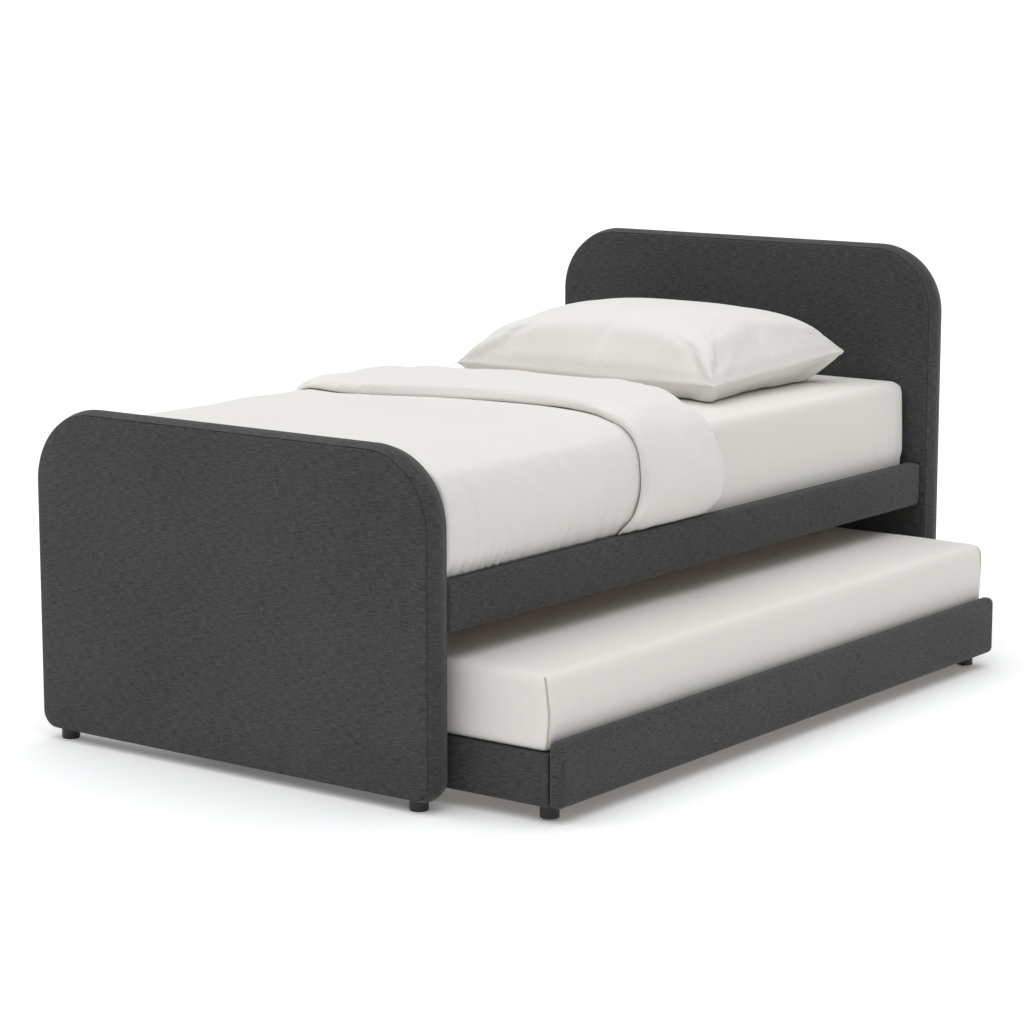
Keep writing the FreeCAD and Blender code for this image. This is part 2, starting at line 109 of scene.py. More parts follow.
def pick(piece, kind, test):
    """Selects the vertices, edges or faces that pass the test, and nothing else."""
    bpy.ops.mesh.select_mode(type=kind)
    bpy.ops.mesh.select_all(action="DESELECT")
    mesh = bmesh.from_edit_mesh(piece.data)
    items = {"VERT": mesh.verts, "EDGE": mesh.edges, "FACE": mesh.faces}[kind]
    for item in items:
        if test(item):
            item.select_set(True)
    bmesh.update_edit_mesh(piece.data)


def runs_along(edge, axis):
    """True if the edge is parallel to that axis (0, 1 or 2)."""
    way = edge.verts[1].co - edge.verts[0].co
    return abs(way[axis]) > 0.999 * way.length


def both_at(edge, axis, value):
    """True if both ends of the edge lie at that place along the axis."""
    return all(abs(v.co[axis] - value) < SAME_PLACE for v in edge.verts)


def apply_modifiers(piece):
    wake(piece)
    for modifier in list(piece.modifiers):
        bpy.ops.object.modifier_apply(modifier=modifier.name)


def smooth(piece, degrees=40):
    """Shades the piece smooth, and leaves edges sharper than this angle crisp."""
    wake(piece)
    bpy.ops.object.shade_smooth_by_angle(angle=math.radians(degrees))


def points_of(piece):
    """The places of the piece's points, one row each."""
    flat = np.empty(len(piece.data.vertices) * 3)
    piece.data.vertices.foreach_get("co", flat)
    return flat.reshape(-1, 3)


def normals_of(piece):
    """The outward direction at each of the piece's points, one row each."""
    flat = np.empty(len(piece.data.vertices) * 3)
    piece.data.vertices.foreach_get("normal", flat)
    return flat.reshape(-1, 3)


def put_points(piece, points):
    """Moves the piece's points to these places."""
    piece.data.vertices.foreach_set("co", np.ascontiguousarray(points, dtype=float).ravel())
    piece.data.update()


def finish_piece(piece, body, material, stands_for=()):
    """Gives a piece its material and its body, and hides the CAD nodes that it stands for."""
    piece.data.materials.clear()
    piece.data.materials.append(material)
    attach(piece, body)
    if stands_for:
        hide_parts(*stands_for)
    return piece


# ---- soft shapes ----
CLOTH_STEPS = 6
CLOTH_STRETCH = 15
CLOTH_BEND = 0.5


def ease(value):
    """0 below 0, 1 above 1, and a smooth step between."""
    value = np.clip(value, 0, 1)
    return value * value * (3 - 2 * value)


def crease(points, normals, route, width, height, late=1.0):
    """Pushes points along their normals near a route of straight runs, fading out at its two ends.

    The larger late is, the nearer to the route's far end the push is greatest.
    """
    route = np.array(route, float)
    lengths = np.linalg.norm(np.diff(route, axis=0), axis=1)
    total = lengths.sum()
    nearest = np.full(len(points), 1e9)
    along = np.zeros(len(points))
    done = 0.0
    for a, b, length in zip(route[:-1], route[1:], lengths):
        t = np.clip(((points - a) @ (b - a)) / length**2, 0, 1)
        distance = np.linalg.norm(points - a - t[:, None] * (b - a), axis=1)
        closer = distance < nearest
        nearest = np.where(closer, distance, nearest)
        along = np.where(closer, (done + t * length) / total, along)
        done += length
    fade = np.sin(np.pi * np.clip(along, 0, 1) ** late) ** 0.7
    lift = height * fade * np.exp(-((nearest / width) ** 2))
    return points + normals * lift[:, None]


def line_through(places, t):
    """The value at t on a smoothed line through (t, value) places."""
    known = np.array(places, float).T
    nearby = t + np.array([-0.05, -0.025, 0, 0.025, 0.05])
    return float(np.mean(np.interp(nearby, known[0], known[1])))


def laid_on(points, normals, route):
    """Lifts a route given in plan onto the upper side of a shape."""
    top = points[normals[:, 2] > 0.02]
    laid = []
    for x, y in route:
        near = top[np.argmin((top[:, 0] - x) ** 2 + (top[:, 1] - y) ** 2)]
        laid.append((x, y, near[2]))
    return laid


def laid_beside(points, normals, way, y, z):
    """The place on a shape's left (-1) or right (1) side at that y and z."""
    side = points[normals[:, 0] * way > 0.3]
    away = (side[:, 1] - y) ** 2 + (side[:, 2] - z) ** 2
    outermost = 0.002 * way * side[:, 0]
    near = side[np.argmin(away - outermost)]
    return (near[0], y, z)


def unevenness(points, scale, height, seed):
    """A gentle random lift for each point, the same on each run."""
    offset = Vector((seed * 7.31, seed * 3.17, seed * 5.93))
    return np.array([noise.noise(Vector(p) * scale + offset) for p in points]) * height


def blow_up(piece, cut, pressure, frames, farthest, held=None):
    """Lets air into a closed cloth shape that was sewn from the given cut, with no gravity.

    The points in held stay where they are, and no point ends further from its start than farthest.
    """
    before = points_of(piece)
    if held is not None:
        pins = piece.vertex_groups.new(name="held")
        pins.add([int(i) for i in np.nonzero(held)[0]], 1.0, "REPLACE")
    piece.shape_key_add(name="shape")
    flat = piece.shape_key_add(name="cut")
    flat.data.foreach_set("co", np.ascontiguousarray(cut, dtype=np.float32).ravel())
    wake(piece)
    cloth = piece.modifiers.new("air", "CLOTH")
    settings = cloth.settings
    settings.rest_shape_key = flat
    if held is not None:
        settings.vertex_group_mass = "held"
    settings.use_pressure = True
    settings.uniform_pressure_force = pressure
    settings.effector_weights.gravity = 0
    settings.quality = CLOTH_STEPS
    settings.tension_stiffness = CLOTH_STRETCH
    settings.compression_stiffness = CLOTH_STRETCH
    settings.bending_stiffness = CLOTH_BEND
    cloth.collision_settings.use_collision = False
    cloth.point_cache.frame_start = 1
    cloth.point_cache.frame_end = frames
    scene = bpy.context.scene
    for number in range(1, frames + 1):
        scene.frame_set(number)
    blown = piece.evaluated_get(bpy.context.evaluated_depsgraph_get())
    after = points_of(blown)
    piece.shape_key_clear()
    piece.modifiers.clear()
    piece.vertex_groups.clear()
    scene.frame_set(1)
    move = after - before
    length = np.linalg.norm(move, axis=1)
    move *= (np.minimum(length, farthest) / np.maximum(length, 1e-9))[:, None]
    put_points(piece, before + move)


def finer(piece):
    """Splits each face in four and rounds the shape a little."""
    softer = piece.modifiers.new("finer", "SUBSURF")
    softer.levels = 1
    softer.render_levels = 1
    apply_modifiers(piece)


def relax(piece, times):
    """Evens the piece's points out."""
    softer = piece.modifiers.new("relax", "SMOOTH")
    softer.factor = 0.5
    softer.iterations = times
    apply_modifiers(piece)


# ---- upholstered pieces ----
# Each crown is a run of insets: how far in, and how much higher.
STRIP_CROWN = ((0.005, 0.0026), (0.007, 0.0022), (0.010, 0.0014))
FACE_CROWN = ((0.004, 0.0006), (0.005, 0.0006), (0.006, 0.0004))
BAR_CROWN = ((0.01, 0.0005), (0.014, 0.0004))
STRIP_WIDTH = 0.012
STRIP_MARGIN = 0.002


def seam_ring(piece, axis, place):
    """Sews a seam round the piece: a narrow groove on the ring of edges at that place along the axis."""
    pick(piece, "EDGE", lambda e: both_at(e, axis, place))
    bpy.ops.mesh.bevel(offset=SEAM_WIDTH, segments=2, profile=0.5, affect="EDGES")
    pick(piece, "VERT", lambda v: abs(v.co[axis] - place) < SEAM_WIDTH * 0.3)
    bpy.ops.transform.shrink_fatten(value=-SEAM_DEPTH)


def is_strip(face, front, back):
    """True for the faces of the strip that runs round a panel's edge, between its two rounded borders."""
    along = [v.co.y for v in face.verts]
    is_long = max(along) - min(along) > STRIP_WIDTH
    return is_long and front - STRIP_MARGIN < min(along) and max(along) < back + STRIP_MARGIN


def upholstered_panel(name, node, padding_node):
    """A tall padded slab with round corners, a seam along its front edge and a soft crown."""
    low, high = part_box(node)
    piece = block(name, low, high)
    open_edit(piece)
    pick(piece, "EDGE", lambda e: runs_along(e, 1) and both_at(e, 2, high.z))
    bpy.ops.mesh.bevel(offset=CORNER_R, segments=28, profile=0.5, affect="EDGES")
    pick(piece, "EDGE", lambda e: runs_along(e, 1) and both_at(e, 2, low.z))
    bpy.ops.mesh.bevel(offset=LOWER_CORNER_R, segments=8, profile=0.5, affect="EDGES")
    front, back = low.y, high.y
    pick(piece, "EDGE", lambda e: both_at(e, 1, front))
    bpy.ops.mesh.bevel(offset=PANEL_EDGE_R, segments=6, profile=0.5, affect="EDGES")
    pick(piece, "EDGE", lambda e: both_at(e, 1, back))
    bpy.ops.mesh.bevel(offset=PANEL_BACK_R, segments=8, profile=0.5, affect="EDGES")
    seam_ring(piece, 1, front + PANEL_EDGE_R * (1 - math.sin(math.radians(45))))
    for width, rise in STRIP_CROWN:
        pick(piece, "FACE", lambda f: is_strip(f, front + PANEL_EDGE_R, back - PANEL_BACK_R))
        bpy.ops.mesh.inset(thickness=width, depth=rise)
    for y in (front, back):
        pick(piece, "FACE", lambda f: abs(f.calc_center_median().y - y) < SAME_PLACE and f.calc_area() > 0.1)
        for width, rise in FACE_CROWN:
            bpy.ops.mesh.inset(thickness=width, depth=rise)
    close_edit()
    smooth(piece)
    return finish_piece(
        piece, "bed_frame", CHARCOAL, (node, padding_node)
    )


def upholstered_bar(name, node, body, edge_r, also=()):
    """A straight padded rail with rounded edges."""
    low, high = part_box(node)
    piece = block(name, low, high)
    open_edit(piece)
    bpy.ops.mesh.select_all(action="SELECT")
    bpy.ops.mesh.bevel(offset=edge_r, segments=6, profile=0.5, affect="EDGES")
    for side in (-1, 1):
        pick(piece, "FACE", lambda f: f.normal.x * side > 0.999 and f.calc_area() > 0.02)
        for width, rise in BAR_CROWN:
            bpy.ops.mesh.inset(thickness=width, depth=rise)
    close_edit()
    smooth(piece)
    return finish_piece(piece, body, CHARCOAL, (node, *also))


# ---- mattresses and their sheets ----
MATTRESS_EDGE_R = 0.019
MATTRESS_FACE = 0.014
SHEET_EDGE_R = 0.022
SHEET_FACE = 0.010
SHEET_THICK = 0.0012
SHEET_HEM = 0.09
SEAM_R = 0.0023


def rounded_bed_block(name, low, high, corner_r, edge_r, face_size):
    """A mattress shape: round upright corners, soft edges, made of even small faces."""
    piece = block(name, low, high)
    open_edit(piece)
    pick(piece, "EDGE", lambda e: runs_along(e, 2))
    bpy.ops.mesh.bevel(offset=corner_r, segments=8, profile=0.5, affect="EDGES")
    pick(piece, "EDGE", lambda e: both_at(e, 2, low.z) or both_at(e, 2, high.z))
    bpy.ops.mesh.bevel(offset=edge_r, segments=5, profile=0.5, affect="EDGES")
    close_edit()
    piece.data.remesh_voxel_size = face_size
    bpy.ops.object.voxel_remesh()
    relax(piece, 4)
    return piece


def mattress(name, node, body, corner_r):
    """The mattress itself, which its sheet hides."""
    low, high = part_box(node)
    piece = rounded_bed_block(name, low, high, corner_r, MATTRESS_EDGE_R, MATTRESS_FACE)
    smooth(piece, 60)
    return finish_piece(piece, body, TICKING, (node,))


def fitted_sheet(name, node, body, corner_r, free_above, ripples, creases, seed):
    """A stretched sheet over a mattress: pulled smooth on top, with small gathers along its sides.

    Its long sides belly out only above the height free_above, where no rail holds them in. Each ripple
    says which side it is on, where it is greatest, its reach, its pitch and its depth.
    """
    low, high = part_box(node)
    piece = rounded_bed_block(name, low, high, corner_r, SHEET_EDGE_R, SHEET_FACE)
    points, normals = points_of(piece), normals_of(piece)
    height = high.z - low.z
    crown_x = 1 - np.clip(np.abs(points[:, 0] - (low.x + high.x) / 2) / ((high.x - low.x) / 2), 0, 1) ** 4
    crown_y = 1 - np.clip(np.abs(points[:, 1] - (low.y + high.y) / 2) / ((high.y - low.y) / 2), 0, 1) ** 6
    upper = ease((points[:, 2] - high.z + 0.03) / 0.03)
    points[:, 2] += 0.002 * crown_x * crown_y * upper
    free = ease((points[:, 2] - free_above) / 0.03)
    middle = 1 - (2 * (points[:, 2] - low.z) / height - 1) ** 2
    points[:, 0] += 0.003 * normals[:, 0] * np.clip(middle, 0, 1) * free
    for side, greatest_at, reach, pitch, depth in ripples:
        low_down = ease(1 - (points[:, 2] - low.z) / (height * 0.85))
        across, along = (0, 1) if side == "long" else (1, 0)
        phase = points[:, along]
        near = np.exp(-(((phase - greatest_at) / reach) ** 2))
        wave = np.sin(phase / pitch * 2 * math.pi + 2.2 * np.sin(phase * 23.0) + points[:, 2] * 9)
        facing = np.clip(np.abs(normals[:, across]), 0, 1)
        points += normals * (depth * wave * near * low_down * facing * free)[:, None]
    points += normals * (unevenness(points, 5.0, 0.0016, seed) * free)[:, None]
    for route, width, rise in creases:
        points = crease(points, normals, route, width, rise)
    put_points(piece, points)
    open_edit(piece, "FACE")
    pick(
        piece,
        "FACE",
        lambda f: f.normal.z < -0.9
        and low.x + SHEET_HEM < f.calc_center_median().x < high.x - SHEET_HEM
        and low.y + SHEET_HEM < f.calc_center_median().y < high.y - SHEET_HEM,
    )
    bpy.ops.mesh.delete(type="FACE")
    close_edit()
    cloth = piece.modifiers.new("cloth", "SOLIDIFY")
    cloth.thickness = SHEET_THICK
    cloth.offset = -1
    apply_modifiers(piece)
    smooth(piece, 60)
    finish_piece(piece, body, SHEET_COTTON, (node,))
    return piece


def corner_seams(name, sheet, body):
    """The raised seam where a sheet is sewn at each corner, laid onto the sheet from just below its top; its
    darker colour is painted shade for the seam's shadow line.
    """
    points = points_of(sheet)
    low, high = Vector(points.min(0)), Vector(points.max(0))
    middle = (low + high) / 2
    tree = bvhtree.BVHTree.FromObject(sheet, bpy.context.evaluated_depsgraph_get())
    strands = []
    for way_x, x in ((-1, low.x), (1, high.x)):
        for way_y, y in ((-1, low.y), (1, high.y)):
            strand = start(
                f"{name}_{len(strands) + 1}",
                bpy.ops.mesh.primitive_cylinder_add,
                vertices=10,
                radius=SEAM_R,
                depth=high.z - low.z - 0.014,
                location=(x, y, middle.z - 0.002),
            )
            open_edit(strand, "EDGE")
            pick(strand, "EDGE", lambda e: runs_along(e, 2))
            bpy.ops.mesh.subdivide(number_cuts=30)
            close_edit()
            inward = Vector((-way_x, -way_y, 0)).normalized()
            placed = points_of(strand)
            for point in placed:
                sway = 0.0022 * math.sin((point[2] - low.z) * 38 + len(strands))
                outside = Vector((x, y, point[2])) - inward * 0.05
                hit = tree.ray_cast(outside, inward, 0.2)[0]
                if hit is None:
                    continue
                point[0] += hit.x - x + sway * way_y
                point[1] += hit.y - y - sway * way_x
            put_points(strand, placed)
            strands.append(strand)
    wake(strands[0])
    for strand in strands:
        strand.select_set(True)
    bpy.ops.object.join()
    seams = bpy.context.object
    seams.name = name
    smooth(seams)
    return finish_piece(seams, body, SEAM_THREAD_AND_SHADE)


# ---- duvet ----
ABOVE_SHEET = 0.0035
DUVET_LAYER = 0.0215
DUVET_GAP = 0.0012
LIP_R = 0.0115
DUVET_HALF_WIDTH = 0.5050
DUVET_SHOULDER_R = 0.045
DUVET_HEM_Z = 0.469
DUVET_ACROSS = 132
DUVET_SLACK = 1.012
DUVET_PRESSURE = 4.0
DUVET_FRAMES = 16
DUVET_FARTHEST = 0.008


def over_the_mattress(t, mattress_top):
    """Where the duvet's underside lies for t from -1 at the left hem to 1 at the right: x, z, and outward."""
    side = 1.0 if t >= 0 else -1.0
    flat = DUVET_HALF_WIDTH - DUVET_SHOULDER_R
    bend = DUVET_SHOULDER_R * math.pi / 2
    drop = mattress_top - DUVET_SHOULDER_R - DUVET_HEM_Z
    length = abs(t) * (flat + bend + drop)
    if length <= flat:
        return side * length, mattress_top, 0.0, 1.0
    if length <= flat + bend:
        angle = (length - flat) / DUVET_SHOULDER_R
        x = flat + DUVET_SHOULDER_R * math.sin(angle)
        z = mattress_top - DUVET_SHOULDER_R * (1 - math.cos(angle))
        return side * x, z, side * math.sin(angle), math.cos(angle)
    down = length - flat - bend
    return side * DUVET_HALF_WIDTH, mattress_top - DUVET_SHOULDER_R - down, side, 0.0


def duvet_profile():
    """The duvet's closed section along the bed: (share of the way from lip to head, metres added, height)."""
    profile = []
    layer, gap, lip = DUVET_LAYER, DUVET_GAP, LIP_R
    fold_r = (2 * layer + gap) / 2
    half = layer / 2
    for i in range(7):
        angle = math.radians(-90 + 180 * i / 6)
        profile.append(("foot", half - half * math.cos(angle), half + half * math.sin(angle)))
    for i in range(1, 92):
        profile.append(("body", i / 92, layer))
    profile.append(("head", -fold_r * 0.9, layer))
    profile.append(("head", -fold_r * 0.85, layer + gap / 2))
    profile.append(("head", -fold_r * 0.9, layer + gap))
    for i in range(1, 12):
        profile.append(("under", 1 - i / 12, layer + gap))
    thick = 2 * lip
    for i in range(9):
        angle = math.radians(-90 - 180 * i / 8)
        profile.append(("lip", lip + lip * math.cos(angle), layer + gap + lip + lip * math.sin(angle)))
    top = layer + gap + thick
    for i in range(1, 32):
        share = i / 32
        profile.append(("band", share, top + (2 * fold_r - top) * share))
    for i in range(13):
        angle = math.radians(90 - 180 * i / 12)
        profile.append(("head", -fold_r + fold_r * math.cos(angle), fold_r + fold_r * math.sin(angle)))
    for i in range(1, 30):
        profile.append(("base", 1 - i / 30, 0.0))
    return profile


# Across the duvet (-1 left hem, 1 right hem) against metres up the bed from the footboard's face.
LIP_PLACES = (
    (-1.0, 0.78), (-0.75, 0.83), (-0.62, 0.80), (-0.50, 0.765), (-0.38, 0.752), (-0.13, 0.812), (0.12, 0.853),
    (0.34, 0.866), (0.52, 0.835), (0.64, 0.775), (0.74, 0.742), (0.82, 0.756), (0.93, 0.742), (1.0, 0.685),
)
HEAD_PLACES = (
    (-1.0, 1.03), (-0.75, 1.10), (-0.50, 1.186), (-0.10, 1.235), (0.26, 1.248), (0.45, 1.19),
    (0.57, 1.125), (0.66, 1.06), (0.735, 1.035), (0.81, 1.078), (0.95, 1.072), (1.0, 1.03),
)


def up_the_bed(kind, along, foot_y, lip_y, head_y):
    """Where a point of the duvet's section lies up the bed."""
    if kind == "foot":
        return foot_y + along
    if kind in ("body", "base"):
        return foot_y + DUVET_LAYER / 2 + along * (head_y - 2 * DUVET_LAYER - foot_y)
    if kind in ("under", "band"):
        return lip_y + LIP_R + along * (head_y - DUVET_LAYER - lip_y - LIP_R)
    if kind == "lip":
        return lip_y + along
    return head_y + along


def duvet(name, node):
    """The duvet with its head end turned back: one section, carried across the bed, then filled with air."""
    low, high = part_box(node)
    foot_of_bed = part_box("footboard_cover")[0].y
    centre_x = (low.x + high.x) / 2
    mattress_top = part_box("fitted_sheet")[1].z + ABOVE_SHEET
    foot_y = low.y + 0.002
    profile = duvet_profile()
    around, across = len(profile), DUVET_ACROSS
    piece = start(
        name, bpy.ops.mesh.primitive_grid_add, x_subdivisions=across, y_subdivisions=around, size=1
    )
    grid = points_of(piece)
    column = np.rint((grid[:, 0] + 0.5) * across).astype(int)
    row = np.rint((grid[:, 1] + 0.5) * around).astype(int) % around
    placed = np.empty_like(grid)
    lips = [line_through(LIP_PLACES, 2 * c / across - 1) for c in range(across + 1)]
    heads = [line_through(HEAD_PLACES, 2 * c / across - 1) for c in range(across + 1)]
    for i, (c, r) in enumerate(zip(column, row)):
        t = 2 * c / across - 1
        x, z, out_x, out_z = over_the_mattress(t, mattress_top)
        kind, along, lift = profile[r]
        y = up_the_bed(kind, along, foot_y, foot_of_bed + lips[c], foot_of_bed + heads[c])
        thin = 1 - 0.55 * float(ease((abs(t) - 0.95) / 0.05))
        placed[i] = (centre_x + x + out_x * lift * thin, y, z + out_z * lift * thin)
    put_points(piece, placed)
    open_edit(piece, "VERT")
    bpy.ops.mesh.select_all(action="SELECT")
    bpy.ops.mesh.remove_doubles(threshold=0.0001)
    bpy.ops.mesh.select_all(action="DESELECT")
    bpy.ops.mesh.select_non_manifold(extend=False)
    bpy.ops.mesh.edge_face_add()
    bpy.ops.mesh.quads_convert_to_tris(ngon_method="BEAUTY")
    bpy.ops.mesh.select_all(action="SELECT")
    bpy.ops.mesh.normals_make_consistent(inside=False)
    close_edit()
    dress_duvet(piece, centre_x, mattress_top, foot_of_bed)
    points = points_of(piece)
    middle = points.mean(0)
    inside = points[:, 2] < mattress_top + 0.012
    inside &= np.abs(points[:, 0] - centre_x) < DUVET_HALF_WIDTH + 0.010
    inside |= points[:, 2] < DUVET_HEM_Z + 0.006
    cut = middle + (points - middle) * DUVET_SLACK
    blow_up(piece, cut, DUVET_PRESSURE, DUVET_FRAMES, DUVET_FARTHEST, inside | tucked(piece))
    finer(piece)
    crease_duvet(piece, centre_x, foot_of_bed)
    smooth(piece, 80)
    return finish_piece(piece, "bed_frame", BEDDING, (node,))


def tucked(piece):
    """True for each point that has another layer of the same duvet close in front of it."""
    tree = bvhtree.BVHTree.FromObject(piece, bpy.context.evaluated_depsgraph_get())
    covered = []
    for vertex in piece.data.vertices:
        start_at = vertex.co + vertex.normal * 0.0008
        covered.append(tree.ray_cast(start_at, vertex.normal, 0.03)[0] is not None)
    return np.array(covered)


def dress_duvet(piece, centre_x, mattress_top, foot_of_bed):
    """Crowns the duvet, lets its sides belly out, and gives it soft creases and gathers."""
    points, normals = points_of(piece), normals_of(piece)
    x = points[:, 0] - centre_x
    y = points[:, 1] - foot_of_bed
    outer = ease((points[:, 2] - mattress_top - 0.012) / 0.01)
    crown = 1 - np.clip(np.abs(x) / 0.5, 0, 1) ** 3
    points[:, 2] += (0.011 + 0.014 * ease((0.80 - y) / 0.35)) * crown * outer
    side = np.clip(np.abs(normals[:, 0]), 0, 1) * (np.abs(x) > DUVET_HALF_WIDTH + 0.008)
    share = np.clip((points[:, 2] - DUVET_HEM_Z) / (mattress_top - DUVET_HEM_Z), 0, 1)
    belly = np.sin(np.pi * share) * 0.007 - 0.006 * (1 - ease(share / 0.25))
    points[:, 0] += np.sign(x) * belly * side
    gather = side * ease(1 - share / 0.55) * np.exp(-(((y - 0.10) / 0.30) ** 2))
    wave = np.sin(y / 0.034 * 2 * math.pi + 1.7 * np.sin(y * 31)) + 0.5 * np.sin(y / 0.019 * 2 * math.pi)
    points += normals * (0.0028 * gather * wave)[:, None]
    exposed = np.where((outer > 0.5) | (side > 0.3), 1.0, 0.0)
    points += normals * (unevenness(points, 4.0, 0.0040, 3) * exposed)[:, None]
    points += normals * (unevenness(points, 11.0, 0.0016, 5) * exposed)[:, None]
    put_points(piece, points)


# Faint folds on top of the duvet, in plan from the bed's middle and its foot, each with its rise.
DUVET_TOP_FOLDS = (
    (((-0.30, 0.30), (-0.10, 0.42), (0.10, 0.47)), 0.0022),
    (((0.05, 0.20), (0.20, 0.33), (0.36, 0.40)), -0.0022),
    (((-0.42, 0.55), (-0.30, 0.66), (-0.12, 0.72)), 0.0020),
    (((0.28, 0.52), (0.38, 0.62), (0.44, 0.72)), -0.0028),
    (((0.05, 1.00), (0.22, 0.98), (0.38, 0.90)), -0.0014),
)
SIDE_FOLDS = 15


def crease_duvet(piece, centre_x, foot_of_bed):
    """Soft folds that run from the duvet's shoulder down its sides, and a few faint ones on top."""
    points, normals = points_of(piece), normals_of(piece)
    edge = DUVET_HALF_WIDTH + DUVET_LAYER
    for way in (1, -1):
        for index in range(SIDE_FOLDS):
            swing = math.sin(index * 2.4 + way)
            edge_y = 0.13 + 0.041 * index + 0.021 * swing
            if index > 12:
                edge_y += 0.19
            rise = 0.0042 + 0.0016 * math.sin(index * 1.7 + way)
            rise = math.copysign(rise, math.sin(index * 4.1 + way))
            inward = 0.07 + 0.05 * abs(math.sin(index * 1.3))
            plan = [
                (centre_x + way * (edge - inward), foot_of_bed + edge_y - 0.10),
                (centre_x + way * (edge - 0.035), foot_of_bed + edge_y - 0.035),
            ]
            route = laid_on(points, normals, plan)
            top = route[0][2]
            for below, along in ((0.06, 0.0), (0.11, 0.018), (0.17 + 0.02 * swing, 0.026)):
                route.append(laid_beside(points, normals, way, foot_of_bed + edge_y + along, top - below))
            points = crease(points, normals, route, 0.0095 + 0.003 * abs(swing), rise, late=1.7)
    for plan, rise in DUVET_TOP_FOLDS:
        route = laid_on(points, normals, [(centre_x + x, foot_of_bed + y) for x, y in plan])
        points = crease(points, normals, route, 0.020, rise)
    x, y = points[:, 0] - centre_x, points[:, 1] - foot_of_bed
    hanging = ease(np.sign(x) * normals[:, 0] / 0.6) * (np.abs(x) > DUVET_HALF_WIDTH + 0.003)
    low_down = ease(1 - (points[:, 2] - DUVET_HEM_Z) / 0.11)
    for near, reach, pitch, depth in ((0.10, 0.26, 0.030, 0.0042), (0.62, 0.20, 0.052, 0.0020)):
        place = np.exp(-(((y - near) / reach) ** 2))
        wave = np.sin(y / pitch * 2 * math.pi + 1.9 * np.sin(y * 27))
        points += normals * (depth * hanging * low_down * place * wave)[:, None]
    footboard_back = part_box("footboard_cover")[1].y + 0.002
    points[:, 1] = np.maximum(points[:, 1], footboard_back)
    put_points(piece, points)


# ---- pillow ----
PILLOW_COLUMNS = 84
PILLOW_ROWS = 62
PILLOW_SLACK = 1.035
PILLOW_PRESSURE = 4.0
PILLOW_FRAMES = 20
PILLOW_FARTHEST = 0.030
PILLOW_TOP_RISE = 0.112
PILLOW_UNDER_DROP = 0.070
PILLOW_SEAM_HEIGHT = 0.043
PILLOW_LIFT = 0.0095
PILLOW_OVERHANG = 0.016
PILLOW_REACH_TO_FOOT = 0.016
# Each fold at a corner: its turn from the long side in degrees, its length, and how far it rises.
PILLOW_FOLDS = ((18, 0.20, -0.0036), (36, 0.24, 0.0036), (54, 0.20, -0.0036), (70, 0.15, 0.0026))


# Shallow dents and swells on top of the pillow, in plan from its middle, each with its rise.
PILLOW_TOP_FOLDS = (
    (((-0.18, -0.10), (-0.10, -0.02), (-0.05, 0.08)), -0.0050),
    (((0.08, -0.16), (0.12, -0.08), (0.22, -0.02)), -0.0045),
    (((-0.28, -0.12), (-0.22, -0.04), (-0.20, 0.05)), 0.0040),
)


def crease_pillow(piece, x, y, half_x, half_y):
    """Folds that fan out from the pillow's four corners, and a shallow dent or two on top."""
    points, normals = points_of(piece), normals_of(piece)
    for way_x in (-1, 1):
        for way_y in (-1, 1):
            for turn, reach, rise in PILLOW_FOLDS:
                angle = math.radians(turn)
                plan = []
                for share in (0.15, 0.45, 0.75, 1.0):
                    inward = share * reach
                    plan.append(
                        (
                            x + way_x * (half_x - inward * math.cos(angle)),
                            y + way_y * (half_y - inward * math.sin(angle)),
                        )
                    )
                points = crease(points, normals, laid_on(points, normals, plan), 0.011, rise, late=0.7)
    for plan, rise in PILLOW_TOP_FOLDS:
        route = laid_on(points, normals, [(x + a, y + b) for a, b in plan])
        points = crease(points, normals, route, 0.020, rise)
    put_points(piece, points)


